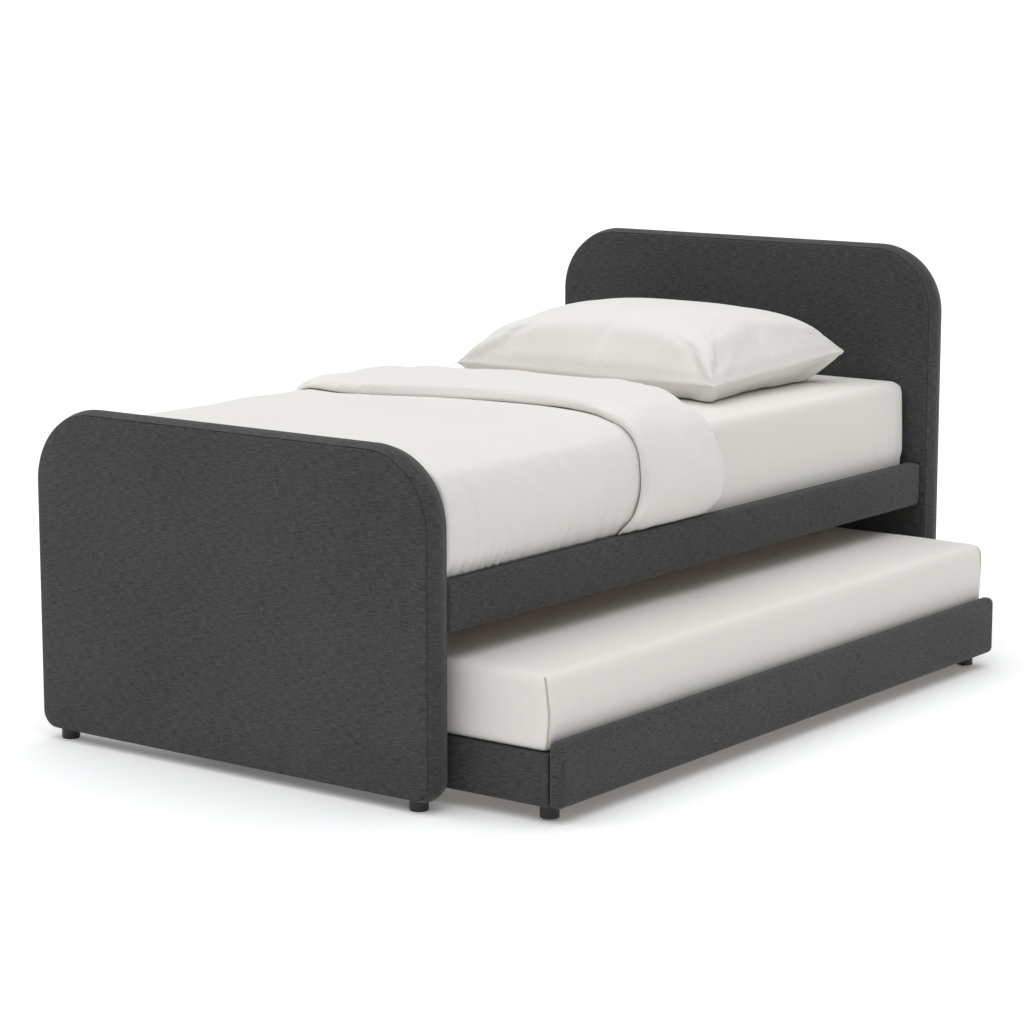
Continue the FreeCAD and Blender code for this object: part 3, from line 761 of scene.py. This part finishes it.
def pillow(name, node):
    """A pillow in its case: sewn from two flat pieces, filled with air, and laid down on its underside."""
    low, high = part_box(node)
    half_x, half_y = (high.x - low.x) / 2, (high.y - low.y) / 2
    piece = start(
        name,
        bpy.ops.mesh.primitive_grid_add,
        x_subdivisions=PILLOW_COLUMNS,
        y_subdivisions=PILLOW_ROWS,
        size=2,
    )
    open_edit(piece, "FACE")
    bpy.ops.mesh.select_all(action="SELECT")
    bpy.ops.mesh.extrude_region_move(TRANSFORM_OT_translate={"value": (0, 0, 1)})
    bpy.ops.mesh.select_all(action="SELECT")
    bpy.ops.mesh.normals_make_consistent(inside=False)
    close_edit()
    flat = points_of(piece)
    u, v, upper = flat[:, 0], flat[:, 1], flat[:, 2] > 0.5
    u = np.sign(u) * (1 - (1 - np.abs(u)) ** 1.25)
    v = np.sign(v) * (1 - (1 - np.abs(v)) ** 1.25)
    full = ((1 - np.abs(u) ** 2.8) * (1 - np.abs(v) ** 2.6)) ** 0.56
    side = np.where(upper, PILLOW_TOP_RISE * full, -PILLOW_UNDER_DROP * full)
    thickness = np.where(upper, 0.001, -0.001)
    seam = PILLOW_SEAM_HEIGHT + 0.014 * v + 0.012 * (u * v) ** 2
    shape = np.stack(
        [
            half_x * u * (1 - 0.050 * (1 - v * v)),
            half_y * v * (1 - 0.075 * (1 - u * u)),
            seam + side + thickness,
        ],
        axis=1,
    )
    cut = np.stack([half_x * u * 1.07, half_y * v * 1.12, thickness], axis=1)
    put_points(piece, shape)
    blow_up(piece, cut * PILLOW_SLACK, PILLOW_PRESSURE, PILLOW_FRAMES, PILLOW_FARTHEST)
    relax(piece, 3)
    points = points_of(piece)
    wide, deep = points[:, 0].max() - points[:, 0].min(), points[:, 1].max() - points[:, 1].min()
    points[:, 0] *= 2 * (half_x + PILLOW_OVERHANG) / wide
    points[:, 1] *= (2 * (half_y + PILLOW_OVERHANG) + PILLOW_REACH_TO_FOOT) / deep
    resting = -0.004
    sunk = points[:, 2] < resting
    points[sunk, 2] = resting + (points[sunk, 2] - resting) * 0.05
    points[:, 2] += low.z + PILLOW_LIFT
    points[:, 0] += (low.x + high.x) / 2
    points[:, 1] += (low.y + high.y - PILLOW_REACH_TO_FOOT) / 2
    rim = np.minimum(
        (1 - np.abs(flat[:, 0])) * PILLOW_COLUMNS / 2, (1 - np.abs(flat[:, 1])) * PILLOW_ROWS / 2
    )
    ring = np.rint(rim).astype(int)
    put_points(piece, points)
    sewn = np.select([ring == 0, ring == 1, ring == 2], [0.0016, -0.0022, -0.0006], 0.0)
    put_points(piece, points + normals_of(piece) * sewn[:, None])
    finer(piece)
    crease_pillow(piece, (low.x + high.x) / 2, (low.y + high.y) / 2, half_x, half_y)
    smooth(piece, 80)
    return finish_piece(piece, "bed_frame", BEDDING, (node,))


# ---- materials ----
def put(tree, kind, **inputs):
    """Adds a shader node and sets its inputs, and its settings, by name."""
    node = tree.nodes.new("ShaderNode" + kind)
    for name, value in inputs.items():
        label = name.replace("_", " ")
        if label in node.inputs:
            node.inputs[label].default_value = value
        else:
            setattr(node, name, value)
    return node


def maths(tree, operation, a, b=None, clamp=False):
    """One Math node; a and b are sockets or numbers."""
    node = tree.nodes.new("ShaderNodeMath")
    node.operation = operation
    node.use_clamp = clamp
    for socket, value in zip(node.inputs, (a, b)):
        if value is None:
            continue
        if isinstance(value, (int, float)):
            socket.default_value = value
        else:
            tree.links.new(value, socket)
    return node.outputs[0]


def blend_colours(tree, share, dark, light):
    """A colour between two, by a share from 0 to 1."""
    node = tree.nodes.new("ShaderNodeMix")
    node.data_type = "RGBA"
    tree.links.new(share, node.inputs["Factor"])
    for socket, value in ((node.inputs[6], dark), (node.inputs[7], light)):
        if isinstance(value, tuple):
            socket.default_value = (*value, 1)
        else:
            tree.links.new(value, socket)
    return node.outputs[2]


def vector(tree, x, y, z):
    """Three sockets or numbers as one vector."""
    node = tree.nodes.new("ShaderNodeCombineXYZ")
    for socket, value in zip(node.inputs, (x, y, z)):
        if isinstance(value, (int, float)):
            socket.default_value = value
        else:
            tree.links.new(value, socket)
    return node.outputs[0]


def noise_of(tree, where, scale, detail=2.0, rough=0.5, distortion=0.0):
    """A Noise node read at the given places."""
    node = put(tree, "TexNoise", Scale=scale, Detail=detail, Roughness=rough, Distortion=distortion)
    tree.links.new(where, node.inputs["Vector"])
    return node.outputs["Fac"]


def new_group(name, inputs, outputs):
    """An empty node group with these inputs, with their first values, and these outputs."""
    group = bpy.data.node_groups.new(name, "ShaderNodeTree")
    for label, value in inputs:
        socket = group.interface.new_socket(label, in_out="INPUT", socket_type="NodeSocketFloat")
        socket.default_value = value
    for label in outputs:
        group.interface.new_socket(label, in_out="OUTPUT", socket_type="NodeSocketFloat")
    enter = group.nodes.new("NodeGroupInput")
    leave = group.nodes.new("NodeGroupOutput")
    return group, enter, leave


def cloth_plane(tree):
    """The two directions of the threads at a point: along and up the face that it is on."""
    place = put(tree, "TexCoord")
    where = put(tree, "SeparateXYZ")
    facing = put(tree, "SeparateXYZ")
    tree.links.new(place.outputs["Object"], where.inputs[0])
    tree.links.new(place.outputs["Normal"], facing.inputs[0])
    ax, ay, az = [maths(tree, "ABSOLUTE", facing.outputs[i]) for i in range(3)]
    is_side = maths(tree, "GREATER_THAN", ax, maths(tree, "MAXIMUM", ay, az))
    is_top = maths(tree, "GREATER_THAN", az, maths(tree, "MAXIMUM", ax, ay))
    x, y, z = [where.outputs[i] for i in range(3)]
    not_side = maths(tree, "SUBTRACT", 1.0, is_side)
    not_top = maths(tree, "SUBTRACT", 1.0, is_top)
    u = maths(tree, "ADD", maths(tree, "MULTIPLY", x, not_side), maths(tree, "MULTIPLY", y, is_side))
    v = maths(tree, "ADD", maths(tree, "MULTIPLY", z, not_top), maths(tree, "MULTIPLY", y, is_top))
    return place.outputs["Object"], u, v


def weave_group():
    """Plain weave: crossing threads, thick and thin stretches of yarn, and slow changes of shade."""
    group, enter, leave = new_group(
        "plain_weave",
        (("Threads", 900.0), ("Slub Length", 0.03), ("Slub Width", 0.003)),
        ("Weave", "Slub", "Cloud"),
    )
    where, u, v = cloth_plane(group)
    threads = enter.outputs["Threads"]
    turns = maths(group, "MULTIPLY", threads, math.pi)
    warp = maths(group, "SINE", maths(group, "MULTIPLY", u, turns))
    weft = maths(group, "SINE", maths(group, "MULTIPLY", v, turns))
    crossing = maths(group, "MULTIPLY_ADD", maths(group, "MULTIPLY", warp, weft), 0.5)
    crossing.node.inputs[2].default_value = 0.5
    group.links.new(crossing, leave.inputs["Weave"])
    slow = maths(group, "DIVIDE", 1.0, enter.outputs["Slub Length"])
    quick = maths(group, "DIVIDE", 1.0, enter.outputs["Slub Width"])
    along = vector(group, maths(group, "MULTIPLY", u, slow), maths(group, "MULTIPLY", v, quick), 0.0)
    up = vector(group, maths(group, "MULTIPLY", u, quick), maths(group, "MULTIPLY", v, slow), 7.0)
    slub = maths(
        group,
        "ADD",
        maths(group, "MULTIPLY", noise_of(group, along, 1.0, 2.0, 0.6), 0.68),
        maths(group, "MULTIPLY", noise_of(group, up, 1.0, 2.0, 0.6), 0.32),
    )
    group.links.new(slub, leave.inputs["Slub"])
    group.links.new(noise_of(group, where, 3.5, 3.0), leave.inputs["Cloud"])
    return group


def crumple_group():
    """The fine soft creases of washed cotton."""
    group, enter, leave = new_group("soft_crumple", (("Scale", 9.0),), ("Height",))
    place = put(group, "TexCoord")
    large = noise_of(group, place.outputs["Object"], 9.0, 3.0, 0.55, 0.6)
    group.links.new(enter.outputs["Scale"], large.node.inputs["Scale"])
    ridge = maths(group, "ABSOLUTE", maths(group, "SUBTRACT", large, 0.5))
    group.links.new(maths(group, "POWER", maths(group, "MULTIPLY", ridge, 2.0), 0.6), leave.inputs["Height"])
    return group


def wood_group():
    """Long grain with growth rings cut at a slant and small pores; it runs along Y where Length Ways is 1."""
    group, enter, leave = new_group(
        "wood_grain", (("Length Ways", 0.0), ("Ring Width", 0.012)), ("Rings", "Pores")
    )
    place = put(group, "TexCoord")
    where = put(group, "SeparateXYZ")
    group.links.new(place.outputs["Object"], where.inputs[0])
    x, y, z = [where.outputs[i] for i in range(3)]
    swap = enter.outputs["Length Ways"]
    keep = maths(group, "SUBTRACT", 1.0, swap)
    along = maths(group, "ADD", maths(group, "MULTIPLY", x, keep), maths(group, "MULTIPLY", y, swap))
    across = maths(group, "ADD", maths(group, "MULTIPLY", y, keep), maths(group, "MULTIPLY", x, swap))
    bend = noise_of(group, vector(group, maths(group, "MULTIPLY", along, 1.3), across, z), 3.0, 2.0)
    slanted = maths(group, "ADD", across, maths(group, "MULTIPLY", z, 0.6))
    shifted = maths(group, "ADD", slanted, maths(group, "MULTIPLY", bend, 0.06))
    turns = maths(group, "DIVIDE", shifted, enter.outputs["Ring Width"])
    phase = maths(group, "MULTIPLY", turns, 2 * math.pi)
    rings = maths(group, "MULTIPLY_ADD", maths(group, "SINE", phase), 0.5)
    rings.node.inputs[2].default_value = 0.5
    group.links.new(rings, leave.inputs["Rings"])
    stretched = vector(
        group,
        maths(group, "MULTIPLY", along, 18.0),
        maths(group, "MULTIPLY", across, 700.0),
        maths(group, "MULTIPLY", z, 700.0),
    )
    group.links.new(noise_of(group, stretched, 1.0, 2.0), leave.inputs["Pores"])
    return group


def grain_group():
    """The fine even texture of moulded plastic, rubber and brushed metal."""
    group, enter, leave = new_group("fine_grain", (("Scale", 900.0), ("Stretch", 1.0)), ("Grain", "Wear"))
    place = put(group, "TexCoord")
    where = put(group, "SeparateXYZ")
    group.links.new(place.outputs["Object"], where.inputs[0])
    x, y, z = [where.outputs[i] for i in range(3)]
    stretched = vector(group, x, y, maths(group, "MULTIPLY", z, enter.outputs["Stretch"]))
    grain = noise_of(group, stretched, 900.0, 2.0)
    group.links.new(enter.outputs["Scale"], grain.node.inputs["Scale"])
    group.links.new(grain, leave.inputs["Grain"])
    group.links.new(noise_of(group, place.outputs["Object"], 60.0, 3.0, 0.6), leave.inputs["Wear"])
    return group


def use_group(tree, group, **inputs):
    """Places a node group in a material, with its own values."""
    node = tree.nodes.new("ShaderNodeGroup")
    node.node_tree = group
    for name, value in inputs.items():
        node.inputs[name.replace("_", " ")].default_value = value
    return node.outputs


def new_material(name, **settings):
    """A material with one Principled BSDF whose constant values are set here."""
    material = bpy.data.materials.new(name)
    material.use_nodes = True
    shader = material.node_tree.nodes["Principled BSDF"]
    for label, value in settings.items():
        shader.inputs[label.replace("_", " ")].default_value = value
    return material, material.node_tree, shader


def bump(tree, shader, height, distance):
    """Lets a height raise and dent the surface."""
    node = put(tree, "Bump", Strength=1.0, Distance=distance)
    tree.links.new(height, node.inputs["Height"])
    tree.links.new(node.outputs["Normal"], shader.inputs["Normal"])


WEAVE = weave_group()
CRUMPLE = crumple_group()
WOOD = wood_group()
GRAIN = grain_group()


def cloth_material(
    name, dark, light, threads, slub_size, slub_share, rough, sheen, thread_height, crumple=0.0
):
    """Woven cloth: threads per metre, thick stretches of yarn, sheen, and soft creases where washed."""
    material, tree, shader = new_material(
        name, Sheen_Weight=sheen, Sheen_Roughness=0.45, Specular_IOR_Level=0.18
    )
    weave = use_group(tree, WEAVE, Threads=threads, Slub_Length=slub_size[0], Slub_Width=slub_size[1])
    slub = maths(tree, "MULTIPLY_ADD", maths(tree, "SUBTRACT", weave["Slub"], 0.5), 2.2 * slub_share)
    slub.node.inputs[2].default_value = 0.5
    threads_share = maths(tree, "MULTIPLY", maths(tree, "SUBTRACT", weave["Weave"], 0.5), 0.25)
    cloud_share = maths(tree, "MULTIPLY", maths(tree, "SUBTRACT", weave["Cloud"], 0.5), 0.35)
    share = maths(tree, "ADD", maths(tree, "ADD", slub, threads_share), cloud_share, clamp=True)
    tree.links.new(blend_colours(tree, share, dark, light), shader.inputs["Base Color"])
    tree.links.new(maths(tree, "MULTIPLY_ADD", share, -0.08), shader.inputs["Roughness"])
    shader.inputs["Roughness"].links[0].from_node.inputs[2].default_value = rough
    threads_up = maths(tree, "MULTIPLY", weave["Weave"], thread_height)
    height = maths(tree, "ADD", threads_up, maths(tree, "MULTIPLY", weave["Slub"], thread_height * 0.9))
    if crumple:
        soft = use_group(tree, CRUMPLE, Scale=7.0)
        height = maths(tree, "ADD", height, maths(tree, "MULTIPLY", soft["Height"], crumple))
    bump(tree, shader, height, 1.0)
    return material


def wood_material(name, dark, light, ring_width, lengthways, rough):
    """Bare wood; lengthways is 0 where the grain runs across the bed and 1 where it runs along it."""
    material, tree, shader = new_material(name, Specular_IOR_Level=0.35)
    wood = use_group(tree, WOOD, Length_Ways=lengthways, Ring_Width=ring_width)
    share = maths(tree, "MULTIPLY_ADD", maths(tree, "SUBTRACT", wood["Pores"], 0.5), 0.9)
    tree.links.new(wood["Rings"], share.node.inputs[2])
    share.node.use_clamp = True
    tree.links.new(blend_colours(tree, share, dark, light), shader.inputs["Base Color"])
    tree.links.new(maths(tree, "MULTIPLY_ADD", wood["Pores"], 0.2), shader.inputs["Roughness"])
    shader.inputs["Roughness"].links[0].from_node.inputs[2].default_value = rough
    bump(tree, shader, wood["Pores"], 0.0002)
    return material


def hard_material(name, dark, light, scale, stretch, rough, metallic=0.0, relief=0.00005):
    """Plastic, foam or metal with a fine even texture."""
    material, tree, shader = new_material(name, Metallic=metallic)
    grain = use_group(tree, GRAIN, Scale=scale, Stretch=stretch)
    worn = maths(tree, "MULTIPLY", grain["Wear"], 0.5)
    share = maths(tree, "ADD", maths(tree, "MULTIPLY", grain["Grain"], 0.5), worn)
    tree.links.new(blend_colours(tree, share, dark, light), shader.inputs["Base Color"])
    tree.links.new(maths(tree, "MULTIPLY_ADD", grain["Wear"], 0.25), shader.inputs["Roughness"])
    shader.inputs["Roughness"].links[0].from_node.inputs[2].default_value = rough
    bump(tree, shader, grain["Grain"], relief)
    return material


CHARCOAL = cloth_material(
    "charcoal_cloth",
    dark=(0.018, 0.018, 0.018),
    light=(0.084, 0.084, 0.084),
    threads=2000.0,
    slub_size=(0.021, 0.0020),
    slub_share=1.15,
    rough=0.95,
    sheen=0.14,
    thread_height=0.00006,
)
SHEET_COTTON = cloth_material(
    "sheet_cotton",
    dark=(0.705, 0.68, 0.642),
    light=(0.795, 0.77, 0.73),
    threads=2200.0,
    slub_size=(0.02, 0.002),
    slub_share=0.5,
    rough=0.86,
    sheen=0.1,
    thread_height=0.00004,
    crumple=0.0008,
)
BEDDING = cloth_material(
    "bedding_cotton",
    dark=(0.695, 0.675, 0.64),
    light=(0.785, 0.765, 0.73),
    threads=2400.0,
    slub_size=(0.02, 0.002),
    slub_share=0.5,
    rough=0.85,
    sheen=0.1,
    thread_height=0.00004,
    crumple=0.0012,
)
TICKING = cloth_material(
    "ticking",
    dark=(0.62, 0.61, 0.58),
    light=(0.80, 0.79, 0.77),
    threads=700.0,
    slub_size=(0.01, 0.002),
    slub_share=0.6,
    rough=0.9,
    sheen=0.1,
    thread_height=0.0003,
)
# The seam strands are real, but their darker brownish colour is painted shade: it stands for the thin shadow
# line along each sewn corner.
SEAM_THREAD_AND_SHADE = cloth_material(
    "seam_cotton_painted_shade",
    dark=(0.40, 0.37, 0.32),
    light=(0.58, 0.55, 0.49),
    threads=1800.0,
    slub_size=(0.004, 0.001),
    slub_share=0.6,
    rough=0.9,
    sheen=0.1,
    thread_height=0.0002,
)
FOAM = hard_material("foam", (0.62, 0.58, 0.45), (0.80, 0.76, 0.64), 700.0, 1.0, 0.85, relief=0.0006)
PLYWOOD = wood_material("birch_plywood", (0.52, 0.37, 0.21), (0.72, 0.57, 0.38), 0.016, 0.0, 0.5)
PINE = wood_material("pine", (0.50, 0.33, 0.16), (0.74, 0.57, 0.34), 0.011, 1.0, 0.5)
ZINC = hard_material("zinc_plate", (0.42, 0.42, 0.43), (0.66, 0.66, 0.67), 500.0, 8.0, 0.22, 1.0)
BLACK_PLASTIC = hard_material(
    "black_moulding", (0.008, 0.008, 0.009), (0.018, 0.018, 0.019), 1400.0, 1.0, 0.35
)
WHEEL_NYLON = hard_material("wheel_nylon", (0.014, 0.014, 0.015), (0.035, 0.035, 0.037), 800.0, 1.0, 0.28)
GLIDE = hard_material("glide_rubber", (0.015, 0.015, 0.015), (0.04, 0.04, 0.04), 1200.0, 1.0, 0.75)
WEBBING = cloth_material(
    "strap_webbing",
    dark=(0.22, 0.21, 0.19),
    light=(0.42, 0.40, 0.37),
    threads=500.0,
    slub_size=(0.01, 0.002),
    slub_share=0.5,
    rough=0.85,
    sheen=0.1,
    thread_height=0.0004,
)
FINISHES = {
    "charcoal_fabric": CHARCOAL,
    "upholstery_foam": FOAM,
    "plywood": PLYWOOD,
    "softwood": PINE,
    "white_cotton": SHEET_COTTON,
    "white_cotton_bedding": BEDDING,
    "mattress_ticking": TICKING,
    "zinc_steel": ZINC,
    "black_plastic": BLACK_PLASTIC,
    "wheel_plastic": WHEEL_NYLON,
    "felt_pad": GLIDE,
    "webbing": WEBBING,
}


def finish_cad_nodes():
    """Every CAD node that stays gets the finish of its slot."""
    for entry in frame["record"]["subparts"]:
        piece = frame["nodes"][entry["node"]]
        piece.data.materials.clear()
        piece.data.materials.append(FINISHES[entry["material_slot"]])


# ---- camera, floor and light ----
SKY_STRENGTH = 0.50
CAMERA_TURN = 36.97
CAMERA_DIP = 10.0
CAMERA_PLACE = (4.73, -4.557, 1.649)
CAMERA_LENS = 105.96
SENSOR = 36.0


def camera():
    """The camera's place is given from the footboard's lower left front corner."""
    corner = Vector((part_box("footboard_cover")[0].x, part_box("footboard_cover")[0].y, 0))
    data = bpy.data.cameras.new("camera")
    data.sensor_width = SENSOR
    data.lens = CAMERA_LENS
    data.clip_end = 100
    eye = bpy.data.objects.new("camera", data)
    bpy.context.scene.collection.objects.link(eye)
    eye.location = corner + Vector(CAMERA_PLACE)
    eye.rotation_euler = (math.radians(90 - CAMERA_DIP), 0, math.radians(CAMERA_TURN))
    bpy.context.scene.camera = eye


def floor():
    """A white floor that shows only the bed's shadow."""
    plane = start(
        "studio_floor", bpy.ops.mesh.primitive_plane_add, size=FLOOR_SIZE, location=(0, 0, -0.0003)
    )
    material = new_material(
        "studio_white",
        Base_Color=(0.92, 0.92, 0.92, 1),
        Roughness=0.9,
        Specular_IOR_Level=0.1,
        Emission_Color=(1, 1, 1, 1),
        Emission_Strength=0.12,
    )[0]
    plane.data.materials.append(material)


def sun(name, towards, power, spread):
    """A very wide soft lamp, far away, so that the whole floor is lit alike."""
    data = bpy.data.lights.new(name, "SUN")
    data.energy = power
    data.angle = math.radians(spread)
    data.color = (0.97, 0.985, 1.0)
    lamp = bpy.data.objects.new(name, data)
    bpy.context.scene.collection.objects.link(lamp)
    lamp.rotation_euler = Vector(towards).to_track_quat("Z", "Y").to_euler()


def studio():
    """White surroundings for the camera, a dimmer sky for the light, and a large lamp overhead."""
    world = bpy.data.worlds.new("studio")
    bpy.context.scene.world = world
    world.use_nodes = True
    tree = world.node_tree
    sky = tree.nodes["Background"]
    sky.inputs["Color"].default_value = (1, 1, 1, 1)
    ray = tree.nodes.new("ShaderNodeLightPath")
    seen = maths(tree, "MULTIPLY_ADD", ray.outputs["Is Camera Ray"], 1.05 - SKY_STRENGTH)
    seen.node.inputs[2].default_value = SKY_STRENGTH
    tree.links.new(seen, sky.inputs["Strength"])
    sun("overhead", (-0.12, -0.13, 1.0), 2.2, 95)
    bpy.context.scene.view_settings.view_transform = "Standard"


# ---- putting it together ----
camera()
floor()
studio()
finish_cad_nodes()
upholstered_panel("footboard_upholstery", "footboard_cover", "footboard_padding")
upholstered_panel("headboard_upholstery", "headboard_cover", "headboard_padding")
for side in ("left", "right"):
    upholstered_bar(
        f"{side}_rail_upholstery", f"{side}_rail_cover", "bed_frame", RAIL_EDGE_R, (f"{side}_rail_padding",)
    )
upholstered_bar(
    "trundle_fascia_upholstery", "trundle_fascia_cover", "trundle", FASCIA_EDGE_R, ("trundle_fascia_padding",)
)
for end in ("foot", "head", "back"):
    upholstered_bar(f"trundle_{end}_rail_upholstery", f"trundle_{end}_rail_cover", "trundle", END_RAIL_EDGE_R)
mattress("upper_mattress", "mattress", "bed_frame", 0.033)
mattress("lower_mattress", "trundle_mattress", "trundle", 0.016)
bed_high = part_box("fitted_sheet")[1]
fitted_sheet(
    "upper_sheet",
    "fitted_sheet",
    "bed_frame",
    corner_r=0.034,
    free_above=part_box("right_rail_cover")[1].z + 0.004,
    ripples=(("long", bed_high.y, 0.22, 0.040, 0.0032), ("long", bed_high.y - 0.5, 0.25, 0.06, 0.0010)),
    creases=(
        (((0.36, 0.30, bed_high.z), (0.30, 0.42, bed_high.z), (0.33, 0.60, bed_high.z)), 0.014, 0.0014),
        (((0.28, 0.85, bed_high.z), (0.34, 0.90, bed_high.z), (0.38, 0.94, bed_high.z)), 0.012, -0.0016),
    ),
    seed=2,
)
low_sheet_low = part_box("trundle_fitted_sheet")[0]
lower_sheet = fitted_sheet(
    "lower_sheet",
    "trundle_fitted_sheet",
    "trundle",
    corner_r=0.014,
    free_above=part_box("trundle_fascia_cover")[1].z + 0.004,
    ripples=(("long", low_sheet_low.y, 0.25, 0.05, 0.0014), ("end", low_sheet_low.x, 0.35, 0.05, 0.0018)),
    creases=(
        (((-0.05, -0.62, 0.305), (0.05, -0.44, 0.305), (0.10, -0.20, 0.305)), 0.014, 0.0020),
        (((0.02, -0.70, 0.305), (0.13, -0.50, 0.305), (0.17, -0.30, 0.305)), 0.012, -0.0018),
        (((0.20, 0.10, 0.305), (0.32, 0.24, 0.305), (0.36, 0.46, 0.305)), 0.016, 0.0016),
        (((-0.20, 0.30, 0.305), (-0.02, 0.42, 0.305), (0.08, 0.66, 0.305)), 0.016, -0.0016),
        (((-0.28, -0.86, 0.305), (-0.10, -0.80, 0.305), (0.10, -0.86, 0.305)), 0.015, 0.0016),
    ),
    seed=4,
)
corner_seams("lower_sheet_corner_seams", lower_sheet, "trundle")
duvet("duvet_cover", "duvet")
pillow("pillow_case", "pillow")
